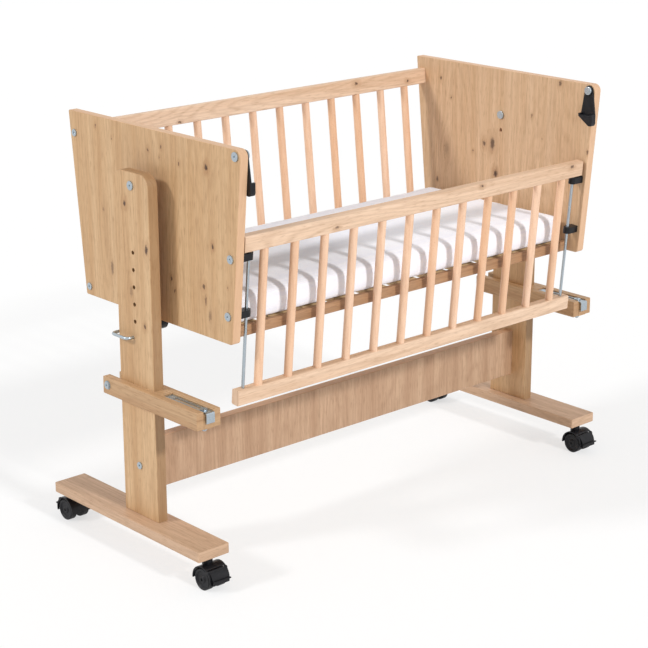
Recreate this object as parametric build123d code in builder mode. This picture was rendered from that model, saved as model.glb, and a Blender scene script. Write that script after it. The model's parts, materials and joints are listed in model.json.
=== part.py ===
from build123d import *
import math
import os

os.makedirs("parts", exist_ok=True)

# Bedside crib: a cradle that swings between two posts on a wheeled stand. Its front gate slides down.
# Millimetres. X runs along the crib, -Y is the side that drops, Z is up from the floor.

# Boards and bars
panel_t = 18.0
post_t = 22.0
foot_t = 20.0
arm_t = 16.0
edge_ease = 0.8

# Mattress, which sets the length and the depth of the cradle
mattress_l = 900.0
mattress_w = 400.0
mattress_h = 57.0
mattress_edge_r = 11.0
mattress_corner_r = 18.0
mattress_crown = 3.0
mattress_draw = 2.0
mattress_end_gap = 7.5

# Cradle end panels, wider at the top than at the bottom
panel_h = 358.0
panel_front_room = 26.0
panel_back_room = 22.0
panel_front_flare = 32.0
panel_back_flare = 36.0
panel_top_r = 14.0
panel_low_r = 8.0
panel_back_r = 3.0

# Swing pivot, and the holes that take it at other heights
pivot_drop = 25.0
panel_above_pivot = 97.0
cradle_gap = 9.5
hole_pitch = 33.0
hole_row_drop = 125.5
hole_row_count = 5
adjust_hole_d = 8.0

# Stand
post_w = 104.0
post_h = 670.0
post_top_r = 24.0
foot_w = 72.0
foot_front_past = 11.0
foot_back_past = 52.0
foot_out = 4.0
foot_r = 3.0
beam_t = 22.0
beam_h = 103.0
beam_rise = 51.0
beam_r = 1.5

# Bed arms and the sliding bed hooks
arm_h = 34.0
arm_rise = 229.5
arm_front_short = 0.5
arm_back = 88.0
arm_r = 2.0
arm_bolt_back = 21.0
arm_bolt_up = 19.0
arm_tube_d = 12.0
hook_groove = 5.0
hook_groove_start = 26.0
strip_w = 19.0
strip_t = 2.5
strip_bend_r = 3.5
strip_play = 1.0
flange_h = 20.0
flange_stand = 3.0
hook_bolt_in = 14.0
hook_travel = 85.0
slot_w = 7.0

# Gate and back side
gate_gap = 6.0
gate_setback = 5.5
gate_depth = 19.0
gate_h = 325.0
gate_top_h = 31.0
gate_low_h = 30.0
gate_raised_drop = 22.9
gate_travel = 138.0
back_setback = 3.5
back_depth = 20.0
back_top_h = 33.5
back_low_h = 33.0
back_top_drop = 27.0
rail_r = 3.0
dowel_d = 16.0
dowel_end_in = 58.75
dowel_count = 12
dowel_seat = 14.0
rod_d = 6.0
rod_inset = 23.0
rod_seat = 12.0

# Rod guides and latches on the panels
guide_h = 13.5
guide_eye_r = 8.0
guide_clear = 2.45
guide_bolt_depth = 12.0
latch_pivot_in = 15.0
latch_pivot_drop = 12.5
latch_plate_t = 3.6
latch_head_r = 10.0
latch_shelf_drop = 50.0
latch_lip_w = 4.0
latch_lip_h = 3.0
latch_front_w = 17.4
latch_back_w = 18.6
latch_hook_t = 8.4
latch_hook_h = 21.0
latch_back_side_h = 3.0
latch_front_side_h = 16.0
latch_toe_front = 15.0
latch_toe_back = 8.0
latch_toe_r = 3.0
latch_rim_r = 0.8

# Base under the mattress
base_rail_h = 20.0
base_rail_t = 20.0
base_front_short = 4.0
base_back_short = 2.0
base_r = 1.5
base_rebate = 9.0
slat_t = 10.0
slat_w = 50.0
slat_count = 11
slat_end_in = 47.5

# Lock pins and catches
pin_d = 6.0
pin_rise = 355.5
pin_leg_y = 7.0
pin_side_gap = 0.5
pin_stand_off = 15.0
pin_bend_r = 9.0
pin_tip_gap = 4.0
catch_r = 17.0
catch_drop = 21.5
catch_t = 15.0
catch_peg_in = 12.0

# Casters
caster_h = 61.5
caster_end = 21.0
caster_trail = 10.0
wheel_r = 21.0
wheel_w = 15.0
wheel_gap = 1.0
wheel_edge_r = 2.0
wheel_dish = 2.5
wheel_rim = 4.0
wheel_boss_r = 6.0
web_t = 12.0
web_boss_r = 11.0
hood_r = 26.5
hood_t = 2.2
hood_lip = 1.0
hood_front_deg = 185.0
hood_low_deg = -15.0
neck_r = 10.0
axle_d = 6.0
axle_end = 1.5
stem_d = 8.0
stem_in = 16.0
stem_down = 24.0
collar_r = 11.0
collar_h = 3.0
brake_w = 38.0
brake_side_gap = 0.4
brake_hinge_deg = 48.0
brake_knuckle_r = 2.6
brake_pin_d = 2.4
brake_boss_r = 3.2
brake_window_deg = 9.0
brake_pad_deg = 16.0
brake_pad_gap = 0.3
brake_lip = 6.0
brake_lip_t = 2.4
brake_open_deg = 12.0

# Fasteners
bolt_d = 6.0
bolt_head_d = 14.0
pivot_d = 8.0
pivot_head_d = 17.0
head_h = 2.2
socket_d = 4.6
socket_depth = 1.4
guide_head_d = 16.0
pivot_tube_d = 14.0
cap_nut_h = 4.0
cap_nut_grip = 2.2
cap_nut_r = 1.0
barrel_d = 10.0
barrel_l = 15.0
barrel_in = 32.0
bolt_past_barrel = 8.0
screw_d = 5.0
screw_head_d = 10.0
screw_cone_h = 3.0
screw_spread = 60.0
screw_bite = 35.0
washer_d = 17.0
washer_t = 1.2
nut_w = 10.0
nut_h = 5.0
dome_h = 4.0

# Fits
run_fit = 0.06
seat_fit = 0.05
face_gap = 0.2

# Sizes that follow from the mattress
inner_len = mattress_l + 2 * mattress_end_gap
panel_low_front = mattress_w / 2 + panel_front_room
panel_low_back = mattress_w / 2 + panel_back_room
panel_top_front = panel_low_front + panel_front_flare
panel_top_back = panel_low_back + panel_back_flare
foot_front = mattress_w / 2 + foot_front_past
foot_back = mattress_w / 2 + foot_back_past
arm_front = mattress_w / 2 - arm_front_short
base_front = mattress_w / 2 - base_front_short
base_back = mattress_w / 2 - base_back_short
dowel_pitch = (inner_len - 2 * dowel_end_in) / (dowel_count - 1)
slat_pitch = (inner_len - 2 * slat_end_in) / (slat_count - 1)

# Places that follow from the sizes
SIDES = (("left", -1), ("right", 1))
panel_in = inner_len / 2
panel_out = panel_in + panel_t
arm_in = panel_out + cradle_gap
post_in = arm_in + arm_t
post_out = post_in + post_t
arm_out = post_out + arm_t
post_x = (post_in + post_out) / 2
foot_x = post_x + foot_out
foot_top = caster_h + foot_t
post_top = foot_top + post_h
pivot_z = post_top - pivot_drop
panel_top = pivot_z + panel_above_pivot
panel_z = panel_top - panel_h
beam_z = foot_top + beam_rise
beam_bolt_z = beam_z + beam_h / 2
arm_z = foot_top + arm_rise
arm_top = arm_z + arm_h
arm_bolt_y = post_w / 2 + arm_bolt_back
arm_bolt_z = arm_z + arm_bolt_up
beam_bolt_in = barrel_in + bolt_past_barrel
pin_z = foot_top + pin_rise
base_top = panel_z + base_rail_h
slat_z = base_top - slat_t
slat_ledge = base_rail_t - base_rebate + face_gap
slat_l = base_front + base_back - 2 * slat_ledge
base_mid = (base_back - base_front) / 2
groove_z = arm_top - hook_groove
strip_z = groove_z + face_gap
strip_top = strip_z + strip_t
hook_bolt_y = hook_bolt_in - arm_front
catch_z = panel_z - catch_drop + catch_r
rod_x = panel_in - rod_inset
gate_end = panel_in - gate_gap
dowel_xs = [(i - (dowel_count - 1) / 2) * dowel_pitch for i in range(dowel_count)]

# The front and back edges of the panels lean outwards
front_lean = math.atan(panel_front_flare / panel_h)
back_lean = math.atan(panel_back_flare / panel_h)
front_up = Vector(0, -math.sin(front_lean), math.cos(front_lean))
front_out = Vector(0, -math.cos(front_lean), -math.sin(front_lean))
back_up = Vector(0, math.sin(back_lean), math.cos(back_lean))
back_out = Vector(0, math.cos(back_lean), -math.sin(back_lean))

# Distances down the lean, measured from the top of the panels
gate_top_down = gate_raised_drop + gate_travel
gate_low_down = gate_top_down + gate_h - gate_low_h
upper_guide_down = gate_top_down + gate_top_h + guide_clear
lower_guide_down = gate_low_down - gate_travel - guide_clear - guide_h
back_low_down = panel_h / math.cos(back_lean) - back_low_h


def front_point(down, inset, x=0.0):
    """A point on the leaning front: down from the panels' top, and inwards from their edge."""
    return Vector(x, -panel_top_front, panel_top) - front_up * down - front_out * inset


def back_point(down, inset, x=0.0):
    """A point on the leaning back: down from the panels' top, and inwards from their edge."""
    return Vector(x, panel_top_back, panel_top) - back_up * down - back_out * inset


def save(piece, label):
    piece.part.label = label
    export_step(piece.part, f"parts/{label}.step")


def rod(start, direction, radius, length, mode=Mode.ADD):
    """Add or cut a plain round bar from its start point along a direction."""
    with BuildSketch(Plane(origin=start, z_dir=direction)) as section:
        Circle(radius)
    extrude(section.sketch, amount=length, mode=mode)


def tube(start, direction, outer_r, bore_r, length):
    """Add a ring or tube from its start point along a direction."""
    with BuildSketch(Plane(origin=start, z_dir=direction)) as section:
        Circle(outer_r)
        Circle(bore_r, mode=Mode.SUBTRACT)
    extrude(section.sketch, amount=length)


def flat_bolt(seat, direction, head_d, shank_d, length):
    """Add a bolt whose flat head stands on its seat and whose shank goes along the direction."""
    rod(seat, direction, shank_d / 2, length)
    rod(seat, -direction, head_d / 2, head_h)
    with BuildSketch(Plane(origin=seat - direction * head_h, z_dir=direction)) as socket:
        RegularPolygon(socket_d / 2, 6)
    extrude(socket.sketch, amount=socket_depth, mode=Mode.SUBTRACT)


def hex_nut(seat, direction, height, bore_r):
    """Add a six-sided nut that stands on its seat and goes along the direction."""
    with BuildSketch(Plane(origin=seat, z_dir=direction)) as section:
        RegularPolygon(nut_w / 2, 6, major_radius=False)
        Circle(bore_r, mode=Mode.SUBTRACT)
    extrude(section.sketch, amount=height)


def cap_nut(seat, direction, head_d, height, bore_r, grip):
    """Add a low round cap nut that stands on its seat and closes over the end of a bolt."""
    face = Plane(origin=seat, z_dir=direction)
    with BuildSketch(Plane(origin=seat, x_dir=face.x_dir, z_dir=-face.y_dir)) as half:
        with BuildLine():
            Polyline(
                (bore_r, 0),
                (head_d / 2, 0),
                (head_d / 2, height),
                (0, height),
                (0, grip),
                (bore_r, grip),
                close=True,
            )
        make_face()
        fillet(half.vertices().sort_by(Axis.X)[-2:].sort_by(Axis.Y)[-1], cap_nut_r)
    revolve(half.sketch, Axis(seat, direction))


def foot_screw(x, y, grow, mode=Mode.ADD):
    """Add or cut a countersunk screw that stands head down in the foot and reaches into the post."""
    with BuildSketch(Plane(origin=(x, y, caster_h), x_dir=(1, 0, 0), z_dir=(0, -1, 0))) as half:
        with BuildLine():
            Polyline(
                (0, 0),
                (screw_head_d / 2 + grow, 0),
                (screw_d / 2 + grow, screw_cone_h),
                (screw_d / 2 + grow, foot_t + screw_bite),
                (0, foot_t + screw_bite),
                close=True,
            )
        make_face()
    revolve(half.sketch, Axis((x, y, caster_h), (0, 0, 1)), mode=mode)


def ease_outline(piece):
    """Ease the long edges of a board that lies across X, as its edge band is."""
    faces = piece.faces().sort_by(Axis.X)
    chamfer(faces[0].edges() + faces[-1].edges(), edge_ease)


# End panels of the cradle
back_inset = back_setback + back_depth / 2
gate_inset = gate_setback + gate_depth / 2
back_top_mid = back_point(back_top_drop + back_top_h / 2, back_inset)
back_low_mid = back_point(back_low_down + back_low_h / 2, back_inset)
upper_guide_mid = front_point(upper_guide_down + guide_h / 2, gate_inset)
lower_guide_mid = front_point(lower_guide_down + guide_h / 2, gate_inset)
latch_y = latch_pivot_in - panel_top_front
latch_z = panel_top - latch_pivot_drop

for side, sx in SIDES:
    panel_face = Plane.YZ.offset(min(sx * panel_in, sx * panel_out))
    with BuildPart() as panel:
        with BuildSketch(panel_face) as outline:
            with BuildLine():
                Polyline(
                    (-panel_low_front, panel_z),
                    (-panel_top_front, panel_top),
                    (panel_top_back, panel_top),
                    (panel_low_back, panel_z),
                    close=True,
                )
            make_face()
            for level, end, radius in (
                (-1, 0, panel_top_r),
                (0, 0, panel_low_r),
                (-1, -1, panel_back_r),
                (0, -1, panel_back_r),
            ):
                fillet(outline.vertices().group_by(Axis.Y)[level].sort_by(Axis.X)[end], radius)
        extrude(amount=panel_t)
        ease_outline(panel)
        with BuildSketch(panel_face):
            with Locations((0, pivot_z)):
                Circle(pivot_d / 2 + run_fit)
            with Locations((0, pivot_z - hole_pitch)):
                Circle(adjust_hole_d / 2)
            with Locations((latch_y, latch_z)):
                Circle(bolt_d / 2 + seat_fit)
            for point in (back_top_mid, back_low_mid, upper_guide_mid, lower_guide_mid):
                with Locations((point.Y, point.Z)):
                    Circle(bolt_d / 2 + seat_fit)
        extrude(amount=panel_t, mode=Mode.SUBTRACT)
        peg = Vector(sx * (panel_in + panel_out) / 2, 0, panel_z)
        rod(peg, Vector(0, 0, 1), bolt_d / 2 + seat_fit, catch_peg_in, Mode.SUBTRACT)
    save(panel, f"{side}_panel")

# Posts, with the pivot hole and the row of holes below it
hole_row_z = pivot_z - hole_row_drop - hole_pitch * (hole_row_count - 1) / 2
screw_ys = (-screw_spread / 2, screw_spread / 2)

for side, sx in SIDES:
    post_face = Plane.YZ.offset(min(sx * post_in, sx * post_out))
    with BuildPart() as post:
        with BuildSketch(post_face) as outline:
            with Locations((0, foot_top + post_h / 2)):
                Rectangle(post_w, post_h)
            fillet(outline.vertices().group_by(Axis.Y)[-1], post_top_r)
        extrude(amount=post_t)
        ease_outline(post)
        with BuildSketch(post_face):
            with Locations((0, pivot_z)):
                Circle(pivot_d / 2 + seat_fit)
            with Locations((0, hole_row_z)):
                with GridLocations(0, hole_pitch, 1, hole_row_count):
                    Circle(adjust_hole_d / 2)
            with Locations((pin_leg_y, pin_z)):
                Circle(pin_d / 2 + run_fit)
            with Locations((0, beam_bolt_z)):
                Circle(bolt_d / 2 + seat_fit)
        extrude(amount=post_t, mode=Mode.SUBTRACT)
        for y in screw_ys:
            end = Vector(sx * post_x, y, foot_top)
            rod(end, Vector(0, 0, 1), screw_d / 2 + seat_fit, screw_bite, Mode.SUBTRACT)
    save(post, f"{side}_post")

# Feet: boards on the flat, with a caster near each end
stem_ys = (caster_end - foot_front, foot_back - caster_end)

for side, sx in SIDES:
    with BuildPart() as foot:
        with BuildSketch(Plane.XY.offset(caster_h)) as outline:
            with Locations((sx * foot_x, (foot_back - foot_front) / 2)):
                Rectangle(foot_w, foot_front + foot_back)
            fillet(outline.vertices(), foot_r)
        extrude(amount=foot_t)
        faces = foot.faces().sort_by(Axis.Z)
        chamfer(faces[0].edges() + faces[-1].edges(), edge_ease)
        for y in stem_ys:
            seat = Vector(sx * foot_x, y, caster_h)
            rod(seat, Vector(0, 0, 1), stem_d / 2 + seat_fit, stem_in, Mode.SUBTRACT)
        for y in screw_ys:
            foot_screw(sx * post_x, y, seat_fit, Mode.SUBTRACT)
    save(foot, f"{side}_foot")

with BuildPart() as foot_screws:
    for side, sx in SIDES:
        for y in screw_ys:
            foot_screw(sx * post_x, y, 0)
save(foot_screws, "foot_screws")

# Stretcher between the posts, drawn up by a bolt and a barrel nut at each end
with BuildPart() as stretcher:
    with BuildSketch(Plane.YZ.offset(-post_in)) as section:
        with Locations((0, beam_bolt_z)):
            Rectangle(beam_t, beam_h)
        fillet(section.vertices(), beam_r)
    extrude(amount=2 * post_in)
    for side, sx in SIDES:
        end = Vector(sx * post_in, 0, beam_bolt_z)
        rod(end, Vector(-sx, 0, 0), bolt_d / 2 + seat_fit, beam_bolt_in, Mode.SUBTRACT)
        mouth = Vector(sx * (post_in - barrel_in), beam_t / 2, beam_bolt_z)
        depth = (beam_t + barrel_l) / 2
        rod(mouth, Vector(0, -1, 0), barrel_d / 2 + seat_fit, depth, Mode.SUBTRACT)
save(stretcher, "stretcher")

with BuildPart() as stretcher_bolts:
    for side, sx in SIDES:
        seat = Vector(sx * post_out, 0, beam_bolt_z)
        flat_bolt(seat, Vector(-sx, 0, 0), bolt_head_d, bolt_d, post_t + beam_bolt_in)
save(stretcher_bolts, "stretcher_bolts")

with BuildPart() as stretcher_nuts:
    for side, sx in SIDES:
        middle = Vector(sx * (post_in - barrel_in), 0, beam_bolt_z)
        rod(middle - Vector(0, barrel_l / 2, 0), Vector(0, 1, 0), barrel_d / 2, barrel_l)
        bore = middle - Vector(barrel_d / 2, 0, 0)
        rod(bore, Vector(1, 0, 0), bolt_d / 2 + seat_fit, barrel_d, Mode.SUBTRACT)
save(stretcher_nuts, "stretcher_nuts")

# Arms: a bar on each face of the post, closed in front by a filler block
for side, sx in SIDES:
    for place, near in (("inner", arm_in), ("outer", post_out)):
        arm_face = Plane.YZ.offset(min(sx * near, sx * (near + arm_t)))
        with BuildPart() as arm:
            with BuildSketch(arm_face) as outline:
                with Locations(((arm_back - arm_front) / 2, arm_z + arm_h / 2)):
                    Rectangle(arm_front + arm_back, arm_h)
                fillet(outline.vertices(), arm_r)
            extrude(amount=arm_t)
            ease_outline(arm)
            with BuildSketch(arm_face):
                with Locations((arm_bolt_y, arm_bolt_z)):
                    Circle(bolt_d / 2 + seat_fit)
            extrude(amount=arm_t, mode=Mode.SUBTRACT)
        save(arm, f"{side}_{place}_arm")

    with BuildPart() as block:
        with BuildSketch(Plane.YZ.offset(min(sx * post_in, sx * post_out))):
            with BuildLine():
                Polyline(
                    (-arm_front, arm_z),
                    (-post_w / 2, arm_z),
                    (-post_w / 2, arm_top),
                    (-post_w / 2 - hook_groove_start, arm_top),
                    (-post_w / 2 - hook_groove_start, groove_z),
                    (-arm_front, groove_z),
                    close=True,
                )
            make_face()
        extrude(amount=post_t)
        bore = Vector(sx * post_x, hook_bolt_y, arm_z)
        rod(bore, Vector(0, 0, 1), bolt_d / 2 + seat_fit, arm_h, Mode.SUBTRACT)
    save(block, f"{side}_arm_block")

with BuildPart() as arm_spacers:
    for side, sx in SIDES:
        start = Vector(sx * post_in, arm_bolt_y, arm_bolt_z)
        tube(start, Vector(sx, 0, 0), arm_tube_d / 2, bolt_d / 2 + seat_fit, post_t)
save(arm_spacers, "arm_spacers")

with BuildPart() as arm_bolts:
    for side, sx in SIDES:
        outer = Vector(sx * arm_out, arm_bolt_y, arm_bolt_z)
        inner = Vector(sx * arm_in, arm_bolt_y, arm_bolt_z)
        grip = washer_t + arm_out - arm_in + nut_h
        tube(outer, Vector(sx, 0, 0), washer_d / 2, bolt_d / 2 + seat_fit, washer_t)
        flat_bolt(outer + Vector(sx * washer_t, 0, 0), Vector(-sx, 0, 0), bolt_head_d, bolt_d, grip)
        hex_nut(inner, Vector(-sx, 0, 0), nut_h, bolt_d / 2 + seat_fit)
save(arm_bolts, "arm_bolts")

# Bed hooks: slotted strips with a flange that grips the big bed, each held by one clamp bolt
flange_y = -arm_front - flange_stand - strip_t
strip_back_y = -post_w / 2 - hook_groove_start - strip_play

for side, sx in SIDES:
    with BuildPart() as bed_hook:
        with BuildSketch(Plane.YZ.offset(sx * post_x)):
            with BuildLine():
                Polyline(
                    (strip_back_y, strip_z),
                    (strip_back_y, strip_top),
                    (flange_y, strip_top),
                    (flange_y, strip_top - flange_h),
                    (flange_y + strip_t, strip_top - flange_h),
                    (flange_y + strip_t, strip_z),
                    close=True,
                )
            make_face()
        extrude(amount=strip_w / 2, both=True)
        bend = bed_hook.edges().filter_by(Axis.X).group_by(Axis.Z)[-1].sort_by(Axis.Y)[0]
        fillet(bend, strip_bend_r)
        with BuildSketch(Plane.XY.offset(strip_z)):
            with Locations((sx * post_x, hook_bolt_y + hook_travel / 2)):
                SlotCenterToCenter(hook_travel, slot_w, rotation=90)
        extrude(amount=strip_t, mode=Mode.SUBTRACT)
    save(bed_hook, f"{side}_bed_hook")

with BuildPart() as hook_bolts:
    for side, sx in SIDES:
        seat = Vector(sx * post_x, hook_bolt_y, strip_top + face_gap)
        under = Vector(sx * post_x, hook_bolt_y, arm_z)
        length = seat.Z - under.Z + nut_h - face_gap
        flat_bolt(seat, Vector(0, 0, -1), bolt_head_d, bolt_d, length)
        hex_nut(under, Vector(0, 0, -1), nut_h, bolt_d / 2 + seat_fit)
        cap = Plane(origin=under - Vector(0, 0, nut_h), x_dir=(1, 0, 0), z_dir=(0, 1, 0))
        with BuildSketch(cap) as dome:
            with BuildLine():
                Line((0, 0), (nut_w / 2, 0))
                ThreePointArc(
                    (nut_w / 2, 0),
                    (nut_w / 2 * math.sin(math.radians(45)), dome_h * math.sin(math.radians(45))),
                    (0, dome_h),
                )
                Line((0, dome_h), (0, 0))
            make_face()
        revolve(dome.sketch, Axis(under, (0, 0, 1)))
save(hook_bolts, "hook_bolts")

# Pivots that the cradle hangs and swings on
with BuildPart() as pivot_bolts:
    for side, sx in SIDES:
        seat = Vector(sx * post_out, 0, pivot_z)
        reach = post_out - panel_in + face_gap + cap_nut_grip
        flat_bolt(seat, Vector(-sx, 0, 0), pivot_head_d, pivot_d, reach)
save(pivot_bolts, "pivot_bolts")

with BuildPart() as pivot_spacers:
    for side, sx in SIDES:
        start = Vector(sx * post_in, 0, pivot_z)
        length = post_in - panel_out - face_gap
        tube(start, Vector(-sx, 0, 0), pivot_tube_d / 2, pivot_d / 2 + seat_fit, length)
save(pivot_spacers, "pivot_spacers")

with BuildPart() as pivot_nuts:
    for side, sx in SIDES:
        seat = Vector(sx * (panel_in - face_gap), 0, pivot_z)
        bore_r = pivot_d / 2 + seat_fit
        cap_nut(seat, Vector(-sx, 0, 0), pivot_head_d, cap_nut_h, bore_r, cap_nut_grip + seat_fit)
save(pivot_nuts, "pivot_nuts")

# Fixed back side of the cradle: two rails with round bars between them
back_rails = (
    ("back_top_rail", back_top_mid, back_top_h, -1),
    ("back_bottom_rail", back_low_mid, back_low_h, 1),
)

for label, middle, height, bars_at in back_rails:
    with BuildPart() as rail:
        start = Vector(-panel_in, middle.Y, middle.Z)
        with BuildSketch(Plane(origin=start, x_dir=back_out, z_dir=(1, 0, 0))) as section:
            Rectangle(back_depth, height)
            fillet(section.vertices(), rail_r)
        extrude(amount=inner_len)
        seat = middle + back_up * bars_at * (height / 2 - dowel_seat)
        for x in dowel_xs:
            mouth = Vector(x, seat.Y, seat.Z)
            rod(mouth, back_up * bars_at, dowel_d / 2 + seat_fit, dowel_seat, Mode.SUBTRACT)
        for side, sx in SIDES:
            end = Vector(sx * panel_in, middle.Y, middle.Z)
            rod(end, Vector(-sx, 0, 0), bolt_d / 2 + seat_fit, beam_bolt_in, Mode.SUBTRACT)
            mouth = end - Vector(sx * barrel_in, 0, 0) - back_up * height / 2
            depth = (height + barrel_l) / 2
            rod(mouth, back_up, barrel_d / 2 + seat_fit, depth, Mode.SUBTRACT)
    save(rail, label)

with BuildPart() as back_dowels:
    low = back_low_mid + back_up * (back_low_h / 2 - dowel_seat)
    high = back_top_mid - back_up * (back_top_h / 2 - dowel_seat)
    for x in dowel_xs:
        rod(Vector(x, low.Y, low.Z), back_up, dowel_d / 2, (high - low).length)
save(back_dowels, "back_dowels")

with BuildPart() as rail_bolts:
    for label, middle, height, bars_at in back_rails:
        for side, sx in SIDES:
            seat = Vector(sx * panel_out, middle.Y, middle.Z)
            flat_bolt(seat, Vector(-sx, 0, 0), bolt_head_d, bolt_d, panel_t + beam_bolt_in)
save(rail_bolts, "rail_bolts")

with BuildPart() as rail_nuts:
    for label, middle, height, bars_at in back_rails:
        for side, sx in SIDES:
            heart = Vector(sx * (panel_in - barrel_in), middle.Y, middle.Z)
            rod(heart - back_up * barrel_l / 2, back_up, barrel_d / 2, barrel_l)
            bore = heart - Vector(barrel_d / 2, 0, 0)
            rod(bore, Vector(1, 0, 0), bolt_d / 2 + seat_fit, barrel_d, Mode.SUBTRACT)
save(rail_nuts, "rail_nuts")

# Base of the cradle: a ledge in front and behind, rebated for the ends of the slats
for label, y, rebate_y in (
    ("front_base_rail", -base_front, -base_front + base_rail_t - base_rebate / 2),
    ("back_base_rail", base_back - base_rail_t, base_back - base_rail_t + base_rebate / 2),
):
    with BuildPart() as ledge:
        with BuildSketch(Plane.YZ.offset(-panel_in)) as section:
            with Locations((y + base_rail_t / 2, panel_z + base_rail_h / 2)):
                Rectangle(base_rail_t, base_rail_h)
            fillet(section.vertices(), base_r)
            with Locations((rebate_y, base_top - slat_t / 2)):
                Rectangle(base_rebate, slat_t, mode=Mode.SUBTRACT)
        extrude(amount=inner_len)
    save(ledge, label)

with BuildPart() as base_slats:
    with BuildSketch(Plane.XY.offset(slat_z)):
        with Locations((0, base_mid)):
            with GridLocations(slat_pitch, 0, slat_count, 1):
                RectangleRounded(slat_w, slat_l, base_r)
    extrude(amount=slat_t)
save(base_slats, "base_slats")


# Mattress: crowned on top, with sides drawn in at the seams and rounded corners
def pad_profile(plane, half):
    """The section of the mattress through its middle, from its half width or half length."""
    seam = half - mattress_draw
    flat = seam - mattress_edge_r
    bend = mattress_edge_r * (1 - math.sin(math.radians(45)))
    with BuildSketch(plane) as profile:
        with BuildLine():
            Line((0, 0), (flat, 0))
            ThreePointArc((flat, 0), (seam - bend, bend), (seam, mattress_edge_r))
            ThreePointArc(
                (seam, mattress_edge_r),
                (half, mattress_h / 2),
                (seam, mattress_h - mattress_edge_r),
            )
            ThreePointArc(
                (seam, mattress_h - mattress_edge_r),
                (seam - bend, mattress_h - bend),
                (flat, mattress_h),
            )
            middle = (flat / 2, mattress_h + mattress_crown * 3 / 4)
            ThreePointArc((flat, mattress_h), middle, (0, mattress_h + mattress_crown))
            mirror(about=Plane.YZ)
        make_face()
    return profile.sketch


with BuildPart() as mattress:
    with BuildSketch(Plane.XY.offset(base_top)):
        RectangleRounded(mattress_l, mattress_w, mattress_corner_r)
    extrude(amount=mattress_h + mattress_crown)
    across = Plane(origin=(0, 0, base_top), x_dir=(0, 1, 0), z_dir=(1, 0, 0))
    extrude(pad_profile(across, mattress_w / 2), amount=mattress_l, both=True, mode=Mode.INTERSECT)
    along = Plane(origin=(0, 0, base_top), x_dir=(1, 0, 0), z_dir=(0, -1, 0))
    extrude(pad_profile(along, mattress_l / 2), amount=mattress_l, both=True, mode=Mode.INTERSECT)
save(mattress, "mattress")

# Gate: two rails, round bars and a steel rod at each end that runs in the guides
gate_rails = (
    ("gate_top_rail", gate_top_down, gate_top_h, -1),
    ("gate_bottom_rail", gate_low_down, gate_low_h, 1),
)

for label, down, height, bars_at in gate_rails:
    with BuildPart() as rail:
        start = front_point(down + height / 2, gate_inset, -gate_end)
        with BuildSketch(Plane(origin=start, x_dir=-front_out, z_dir=(1, 0, 0))) as section:
            Rectangle(gate_depth, height)
            fillet(section.vertices(), rail_r)
        extrude(amount=2 * gate_end)
        edge = down + height if bars_at < 0 else down
        for x in dowel_xs:
            seat = front_point(edge + bars_at * dowel_seat, gate_inset, x)
            rod(seat, front_up * bars_at, dowel_d / 2 + seat_fit, dowel_seat, Mode.SUBTRACT)
        for side, sx in SIDES:
            seat = front_point(edge + bars_at * rod_seat, gate_inset, sx * rod_x)
            rod(seat, front_up * bars_at, rod_d / 2 + seat_fit, rod_seat, Mode.SUBTRACT)
    save(rail, label)

gate_clear = gate_low_down - gate_top_down - gate_top_h

with BuildPart() as gate_dowels:
    for x in dowel_xs:
        foot_end = front_point(gate_low_down + dowel_seat, gate_inset, x)
        rod(foot_end, front_up, dowel_d / 2, gate_clear + 2 * dowel_seat)
save(gate_dowels, "gate_dowels")

with BuildPart() as gate_rods:
    for side, sx in SIDES:
        foot_end = front_point(gate_low_down + rod_seat, gate_inset, sx * rod_x)
        rod(foot_end, front_up, rod_d / 2, gate_clear + 2 * rod_seat)
save(gate_rods, "gate_rods")

# Guides: an eye round each rod, bolted to the panel. They also stop the gate at both ends of its way
for label, down, middle in (
    ("upper_guides", upper_guide_down, upper_guide_mid),
    ("lower_guides", lower_guide_down, lower_guide_mid),
):
    with BuildPart() as guides:
        for side, sx in SIDES:
            origin = front_point(down + guide_h, gate_inset, sx * rod_x)
            with BuildSketch(Plane(origin=origin, x_dir=(1, 0, 0), z_dir=front_up)):
                Circle(guide_eye_r)
                with Locations((sx * rod_inset / 2, 0)):
                    Rectangle(rod_inset, 2 * guide_eye_r)
                Circle(rod_d / 2 + run_fit, mode=Mode.SUBTRACT)
            extrude(amount=guide_h)
            seat = Vector(sx * panel_in, middle.Y, middle.Z)
            inward = Vector(-sx, 0, 0)
            rod(seat, inward, bolt_d / 2 + seat_fit, guide_bolt_depth, Mode.SUBTRACT)
    save(guides, label)

with BuildPart() as guide_bolts:
    for middle in (upper_guide_mid, lower_guide_mid):
        for side, sx in SIDES:
            seat = Vector(sx * panel_out, middle.Y, middle.Z)
            length = panel_t + guide_bolt_depth
            flat_bolt(seat, Vector(-sx, 0, 0), guide_head_d, bolt_d, length)
save(guide_bolts, "guide_bolts")

# Gate latches: a plate that hangs from its bolt, with a hook whose shelf carries the raised gate
with BuildPart() as latch_bolts:
    for side, sx in SIDES:
        inward = Vector(-sx, 0, 0)
        through = face_gap + latch_plate_t + face_gap
        seat = Vector(sx * panel_out, latch_y, latch_z)
        flat_bolt(seat, inward, pivot_head_d, bolt_d, panel_t + through + cap_nut_grip)
        cap = Vector(sx * (panel_in - through), latch_y, latch_z)
        cap_nut(cap, inward, pivot_head_d, cap_nut_h, bolt_d / 2 + seat_fit, cap_nut_grip + seat_fit)
save(latch_bolts, "latch_bolts")

shelf_z = -latch_shelf_drop
lip_z = shelf_z + latch_lip_h
toe_z = shelf_z - latch_hook_h

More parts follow.
